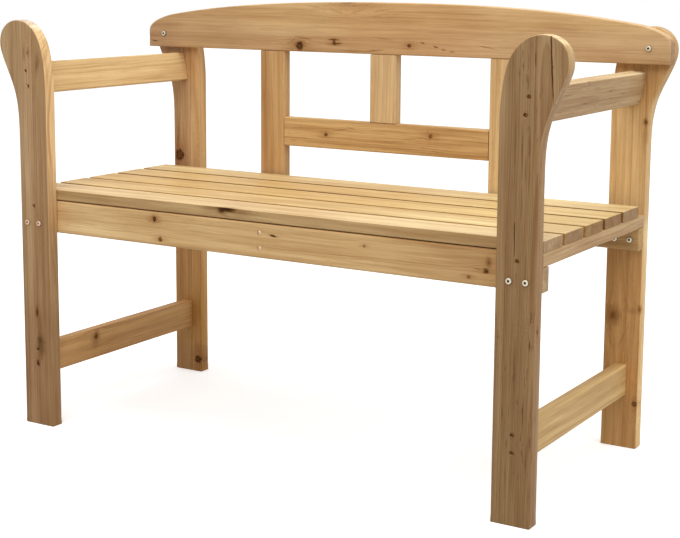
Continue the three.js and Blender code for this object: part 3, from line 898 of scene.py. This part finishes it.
leg("front_right_leg", 1, -1, seed=2.1, pith=(80, 60), tone=(0.52, 0.48, 0.465), ring=2.4,
    contrast=0.5, flecks=1.4, top=(2.15, 2.7, 3.3),
    side=((1.7, 1.95, 2.1), (325, 285, (1.15, 1.16, 1.2))),
    staves=((-38, (0.92, 0.9, 0.86)), (2.5, (1.08, 1.08, 1.1))),
    fades=((0, 190, 280, (1.08, 1.12, 1.2)), (0, 60, -180, (0.93, 0.93, 0.92))),
    knots=(Knot(-66, 11.75, 2.8, 0.9, tilt=SIDEWAYS, depth=-3),),
    marks=(Mark(326, 27, 88, 1.8, 0.88, 0.45, lean=-0.07),
           Mark(70, -24, 36, 1, 0.9, 0.5, lean=-0.02),
           Mark(-45, 5, 16, 1.8, 0.8, 0.2, lean=0.02),
           Mark(-84, 4, 14, 1.8, 0.8, 0.2, lean=0.02),
           Mark(330, 2.2, 20, 2.2, 0.75, 0.1), Mark(270, 2.4, 60, 1.6, 0.6, 0.1),
           Mark(296, -8, 16, 1.6, 0.6, 0.1), Mark(165, -3, 40, 2, 0.62, 0.1),
           Mark(205, -3.5, 40, 2.4, 0.68, 0.1), Mark(198, -15, 60, 2.4, 0.6, 0.1),
           Mark(170, -9, 30, 2, 0.5, 0.1), Mark(120, -14, 40, 1.6, 0.5, 0.1),
           Mark(200, -26, 50, 1.6, 0.5, 0.1),
           Mark(20, -6, 40, 1.6, 0.6, 0.1, lean=0.01),
           Mark(-190, -4, 36, 1.8, 0.6, 0.1), Mark(-120, -20, 60, 2, 0.5, 0.1),
           Mark(-260, 2, 30, 1.6, 0.6, 0.1), Mark(-290, -30, 60, 2, 0.5, 0.1)))
# The first two fades are painted shade just below the seat, partly the wood's own warmer tone,
# lifting lower down
leg("rear_left_leg", -1, 1, seed=3.7, pith=(50, -80), tone=(0.8, 0.74, 0.78),
    top=(1.2, 1.25, 1.25), side=((1.15, 1.15, 1.05),), staves=((30, (1.17, 1.19, 1.15)),),
    fades=((0, 60, -40, (1.05, 0.92, 0.69)), (0, -40, -80, (1.26, 1.26, 1.3)),
           (0, -110, -240, (0.8, 0.8, 0.66)), (0, -270, -350, (0.84, 0.84, 1))),
    knots=(Knot(83, 2.5, 10.5, 0.95), Knot(-338.9, 45, 7.5, 0.95)),
    marks=(Mark(130, -2, 50, 7, 0.35, lean=0.1), Mark(96, 10, 26, 2, 0.4, lean=-0.2)))
# The first fade is painted shade under the seat, partly the wood's own warmer tone, and the second
# painted shade under the top rail and armrest; side's fading adds a painted highlight low on the
# edges
leg("rear_right_leg", 1, 1, seed=4.2, pith=(-60, -70), tone=(1.1, 1.1, 1.09), contrast=0.22,
    streaks=0.75, top=(1, 1.2, 1.55), side=((1.05, 1.08, 1.12), (50, 10, (1.4, 1.75, 2.3))),
    staves=((-14, (0.97, 0.96, 0.95)),),
    fades=((0, 60, -40, (0.9, 0.75, 0.6)), (0, 215, 275, (0.8, 0.73, 0.64))),
    knots=(Knot(-131, -33.1, 9, 0.06), Knot(-284, 6.5, 4.5, 0.7)),
    marks=(Mark(204.8, 9, 11, 8, 0.85, 0.1), Mark(184, 11, 26, 2.6, 0.5),
           Mark(-133, -38, 31, 22, 0.8), Mark(-117, 10.5, 13, 10, 0.8),
           Mark(-121, -4, 9, 22, 0.3), Mark(-150, -43, 22, 8, 0.35),
           Mark(-172, -20, 26, 2.2, 0.4, lean=0.45), Mark(-174, -42, 26, 2.2, 0.35, lean=-0.35),
           Mark(-112, -12, 20, 2.4, 0.35, lean=-0.5), Mark(176, 6, 40, 4, 0.3)))

armrest("left_armrest", -1, seed=5.1, pith=(60, 50),
    tone=(1.17, 1.27, 1.38), streaks=0.8)
# Painted light on the right armrest's top face
armrest("right_armrest", 1, seed=6.4, pith=(90, -30),
    tone=(0.76, 0.77, 0.85), streaks=1.3, flecks=1.4, walls=((1, 1, (1.44, 1.68, 1.98)),),
    marks=(Mark(60, 6, 12, 2, 0.6, 0.1, lean=0.1), Mark(-40, -8, 16, 2, 0.6, 0.1),
           Mark(120, -2, 20, 1.6, 0.6, 0.1), Mark(0, 14, 20, 1.6, 0.5, 0.1),
           Mark(-120, 10, 26, 1.6, 0.5, 0.1)))
board("left_stretcher", "yzx", seed=7.7, pith=(70, 60), tone=(1.1, 0.95, 0.8), face=11,
    knots=(Knot(-89, 12.5, 6, 0.1, tilt=0.6),),
    marks=(Mark(-89, 13.5, 15, 18, 0.9), Mark(-91, 7, 20, 22, 0.55)))
board("right_stretcher", "yzx", seed=8.3, pith=(-80, 40), tone=(1.01, 1.03, 0.94), streaks=0.8)
board("left_bearer", "yxz", seed=9.6, pith=(60, 60), tone=(0.9, 0.87, 0.85))
board("right_bearer", "yxz", seed=10.2, pith=(60, 60), tone=(0.82, 0.82, 0.88))
board("middle_bearer", "yzx", seed=11.8, pith=(60, 60), tone=(0.95, 0.92, 0.88))

rail("front_apron", seed=12.4, pith=(60, 75), tone=(1.07, 1.07, 1.07), wander=1.2,
    ends=(0.83, 1, 1.4),
    fades=((0, -230, -400, (1.12, 1.17, 1.24)), (0, 150, 380, (0.8, 0.74, 0.68)),
           (0, 360, 440, (1, 0.98, 0.95))),
    knots=(Knot(-216.1, 16.5, 3.6, 0.85, tilt=SLANTED), Knot(-203.8, -17.7, 3.8, 0.85),
           Knot(380.4, -16.9, 2.5, 0.6), Knot(407.9, -5, 4.2, 0.3), Knot(198.7, 11.3, 2.4, 0.5)),
    marks=(Mark(27, 10.7, 14, 3.8, 0.95, 0.2, lean=-0.18),
           Mark(409, -5.5, 7.5, 6.5, 0.9, 0.1), Mark(413, 8, 9, 14, 0.78),
           Mark(394, -3, 13, 1.6, 0.6, 0.1, lean=-0.1), Mark(-216, 17, 14, 10, 0.4)))
rail("rear_rail", seed=13.9, pith=(50, -60), tone=(0.93, 0.9, 0.84), ends=(0.95, 0.94, 0.94))

# The slats' edges carry painted shade, darkest in the gaps, and their tops painted light, paler
# towards the right
SHADED, HALF_SHADED = (0.4, 0.29, 0.16), (0.72, 0.6, 0.44)
FRONT_EDGE, HALF_LIT_EDGE, REAR_EDGE = (1, -1, SHADED), (1, -1, HALF_SHADED), (1, 1, SHADED)
LIT = (2, 1, WHITE[:3], (50, 300, (1.14, 1.24, 1.34)))
FAINTLY_LIT = (2, 1, WHITE[:3], (50, 300, (1.08, 1.13, 1.16)))
TOPS = dict(contrast=0.2, flecks=0.12, slot="seat_wood", arris=1.6)
# Slat 1's front edge carries a lighter painted shade of its own
board("seat_slat_1", "xyz", seed=14.3, pith=(90, -40), tone=(1.14, 1.28, 1.5),
    ends=(0.6, 0.54, 0.56), face=6.2, walls=((1, -1, (0.7, 0.62, 0.52)), REAR_EDGE, FAINTLY_LIT),
    marks=(Mark(-66, -35.3, 56, 5, 0.96, 0.05),
           Mark(-74, -35.3, 26, 7, 0.92, 0.1, depth=4.2),
           Mark(-96, -35.3, 42, 3.5, 0.6, depth=7), Mark(-40, -35.3, 44, 5, 0.6, depth=4),
           Mark(-60, -31, 24, 8, 0.5, lean=0.2, depth=9)), **TOPS)
board("seat_slat_2", "xyz", seed=15.5, pith=(-70, -30), tone=(1.03, 1.08, 1.05),
    ends=(0.52, 0.46, 0.49), walls=(HALF_LIT_EDGE, REAR_EDGE, LIT), **TOPS)
board("seat_slat_3", "xyz", seed=16.1, pith=(60, -70), tone=(1.01, 1.03, 0.92),
    ends=(0.54, 0.48, 0.5), face=9, walls=(HALF_LIT_EDGE, REAR_EDGE, LIT),
    marks=(Mark(147.6, -13.2, 12, 4, 0.5), Mark(-362.9, 17.9, 14, 4, 0.5)), **TOPS)
board("seat_slat_4", "xyz", seed=17.8, pith=(-90, 50), tone=(1.01, 1.03, 0.93),
    ends=(0.5, 0.44, 0.48), face=9, walls=(FRONT_EDGE, REAR_EDGE, LIT),
    marks=(Mark(100, 0, 12, 4, 0.35),), **TOPS)
board("seat_slat_5", "xyz", seed=18.6, pith=(40, -60), tone=(1.1, 1.22, 1.28),
    ends=(0.54, 0.47, 0.52), walls=(FRONT_EDGE, REAR_EDGE, FAINTLY_LIT), **TOPS)

# The soft marks round (-77, 54) are arcs of the whorl at the upper edge
# Painted highlight on the top rail's upper face
top_rail(seed=19.2, pith=(-95, 60), tone=(0.9, 0.89, 0.98), contrast=0.2, streaks=0.8,
    flecks=0.15, ends=(0.76, 0.74, 0.84), walls=((1, 1, (1.12, 1.2, 1.35)),),
    fades=((1, -20, 25, (1.12, 1.14, 1.08)), (0, -130, -40, (0.95, 0.88, 0.82)),
           (0, 130, 250, (1.05, 1.13, 1.22)), (0, -270, -350, (0.89, 0.86, 0.85)),
           (0, -440, -500, (0.92, 0.87, 0.85))),
    knots=(Knot(-77, 54, 11, 0.15), Knot(-181.3, -36.5, 7, 0.9), Knot(-104.8, -28.4, 3.6, 0.8),
           Knot(54.6, -29.7, 3.4, 0.9)),
    marks=(Mark(-528, -36, 14, 1.8, 0.8, 0.3, lean=-0.1), Mark(-181, -34, 19, 13, 0.6),
           Mark(-172, -21.5, 30, 2.2, 0.6, 0.1, lean=-0.1),
           Mark(-198, -27, 13, 2.2, 0.55, 0.1, lean=0.6), Mark(-77, 49, 36, 15, 0.38),
           Mark(-98, 29, 26, 3, 0.32, lean=-0.29), Mark(-57, 29.5, 26, 3, 0.32, lean=0.3),
           Mark(-146, 37, 34, 3, 0.28, lean=-0.17), Mark(-2, 33, 30, 3, 0.28, lean=0.13),
           Mark(-8, 24, 28, 2.6, 0.25, lean=0.16), Mark(-106, -23, 18, 3, 0.85, 0.2),
           Mark(-98, -30, 18, 2.4, 0.8, 0.2, lean=0.15),
           Mark(82.6, -24, 6, 2.2, 0.8, 0.3, lean=-0.2),
           Mark(109, -30.5, 7, 2.2, 0.8, 0.3, lean=-0.2),
           Mark(125, -35, 7, 2, 0.7, 0.3, lean=-0.1), Mark(142, -38, 9, 1.8, 0.7, 0.3),
           Mark(210, -28, 26, 1.8, 0.6, 0.2, lean=-0.15),
           Mark(0, -18, 30, 1.6, 0.5, 0.2, lean=-0.08),
           Mark(-20, -41, 30, 3, 0.6, 0.1, lean=0.12), Mark(-60, -43, 60, 4, 0.4)))
board("left_upright", "zxy", seed=20.7, pith=(-60, 80), tone=(0.82, 0.75, 0.69))
board("right_upright", "zxy", seed=21.4, pith=(70, 50), tone=(1.05, 1.1, 1.18), contrast=0.2)
board("centre_upright", "zxy", seed=22.9, pith=(50, 70), tone=(1.04, 1.1, 1.26), streaks=0.7)
board("middle_back_rail", "xzy", seed=23.3, pith=(-80, 40), tone=(0.93, 0.9, 0.83), contrast=0.35,
    streaks=1.4, flecks=0.8, face=-11,
    knots=(Knot(-122, -0.8, 3.6, 0.8), Knot(101, 9.3, 3.8, 0.75)),
    marks=(Mark(-88, 10, 22, 1.6, 0.6, 0.2, lean=0.15),
           Mark(-66, 14, 16, 1.6, 0.6, 0.2, lean=-0.15),
           Mark(20, -6, 34, 1.4, 0.5, 0.2, lean=0.05),
           Mark(60, 2, 30, 1.4, 0.5, 0.2, lean=0.08)))

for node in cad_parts:
    if "bolt" in node:
        bolt(node)
    elif "screw" in node:
        screw(node, -1 if node.endswith("front") else 1, bright=node.startswith("middle"))


# Camera

FOCAL, CENTRE_ROW, MIDDLE_ROW = 1466.0, 195.3, 269.0    # in pixels of the photograph
YAW, PITCH, ROLL = (math.radians(angle) for angle in (31.382, 8.455, 0.359))
EYE = Vector((1336.15, -2147.52, 806.47))
SENSOR_WIDTH = 36.0


def camera():
    forward = Vector((-math.sin(YAW) * math.cos(PITCH), math.cos(YAW) * math.cos(PITCH),
                      -math.sin(PITCH)))
    level = Vector((math.cos(YAW), math.sin(YAW), 0))
    above = level.cross(forward)
    right = level * math.cos(ROLL) + above * math.sin(ROLL)
    up = above * math.cos(ROLL) - level * math.sin(ROLL)
    data = bpy.data.cameras.new("camera")
    data.sensor_fit = "HORIZONTAL"
    data.sensor_width = SENSOR_WIDTH
    data.lens = FOCAL * SENSOR_WIDTH / IMAGE_WIDTH
    data.shift_y = (CENTRE_ROW - MIDDLE_ROW) / IMAGE_WIDTH
    data.clip_end = 100.0
    eye = added("camera", data)
    turn = Matrix((right, up, -forward)).transposed().to_4x4()
    eye.matrix_world = Matrix.Translation(EYE * MM) @ turn
    bpy.context.scene.camera = eye


camera()


# Floor, dome and lamps

LAMPS_AIM = Vector((0.0, 0.0, 0.4))    # in metres, as the lamps' places
LAMPS = (
    ("overhead", (0.2, -0.4, 3.0), (2.6, 2.2), 25.0),
    ("front", (0.6, -3.2, 2.8), (2.2, 1.6), 35.2),
    ("right", (3.4, -0.6, 2.4), (1.6, 1.6), 34.2),
)
FLOOR_HALF_WIDTH = 14.0


def lamp(name, place, size, power):
    data = bpy.data.lights.new(name, "AREA")
    data.shape = "RECTANGLE"
    data.size, data.size_y = size
    data.energy = power
    light = added(name, data)
    light.location = place
    light.rotation_euler = (LAMPS_AIM - Vector(place)).to_track_quat("-Z", "Y").to_euler()


def background_seen(n):
    """1 for the rays that show the background: from the camera, off gloss and through glass."""
    path = n.add("ShaderNodeLightPath").outputs
    bounced = n.math("MAXIMUM", path["Is Glossy Ray"], path["Is Transmission Ray"])
    return n.math("MAXIMUM", path["Is Camera Ray"], bounced)


def floor():
    bm = bmesh.new()
    bmesh.ops.create_grid(bm, x_segments=8, y_segments=8, size=FLOOR_HALF_WIDTH)
    mesh = bpy.data.meshes.new("floor")
    bm.to_mesh(mesh)
    bm.free()
    ground = added("floor", mesh)
    made = bpy.data.materials.new("floor")
    n = emptied(made)
    seen = background_seen(n)
    shown = n.add("ShaderNodeBsdfDiffuse", {"Color": (0.9, 0.9, 0.9, 1.0)})
    glow = n.add("ShaderNodeEmission", {"Color": WHITE, "Strength": 0.45})
    bright = n.add("ShaderNodeAddShader", {0: shown.outputs[0], 1: glow.outputs[0]})
    plain = n.add("ShaderNodeBsdfDiffuse", {"Color": (0.42, 0.42, 0.42, 1.0)})
    both = n.add("ShaderNodeMixShader", {0: seen, 1: plain.outputs[0], 2: bright.outputs[0]})
    n.add("ShaderNodeOutputMaterial", {"Surface": both.outputs[0]})
    mesh.materials.append(made)


def dome():
    world = bpy.data.worlds.new("dome")
    n = emptied(world)
    seen = background_seen(n)
    height = n.split(n.add("ShaderNodeTexCoord").outputs["Generated"])[2]
    sky = n.ease(height, 0.0, 0.9, 0.4, 0.85)
    strength = n.math("ADD", n.product(seen, n.math("SUBTRACT", 1.0, sky)), sky)
    back = n.add("ShaderNodeBackground", {"Color": WHITE, "Strength": strength})
    n.add("ShaderNodeOutputWorld", {"Surface": back.outputs[0]})
    bpy.context.scene.world = world


floor()
dome()
for row in LAMPS:
    lamp(*row)

bpy.context.scene.view_settings.view_transform = "Standard"
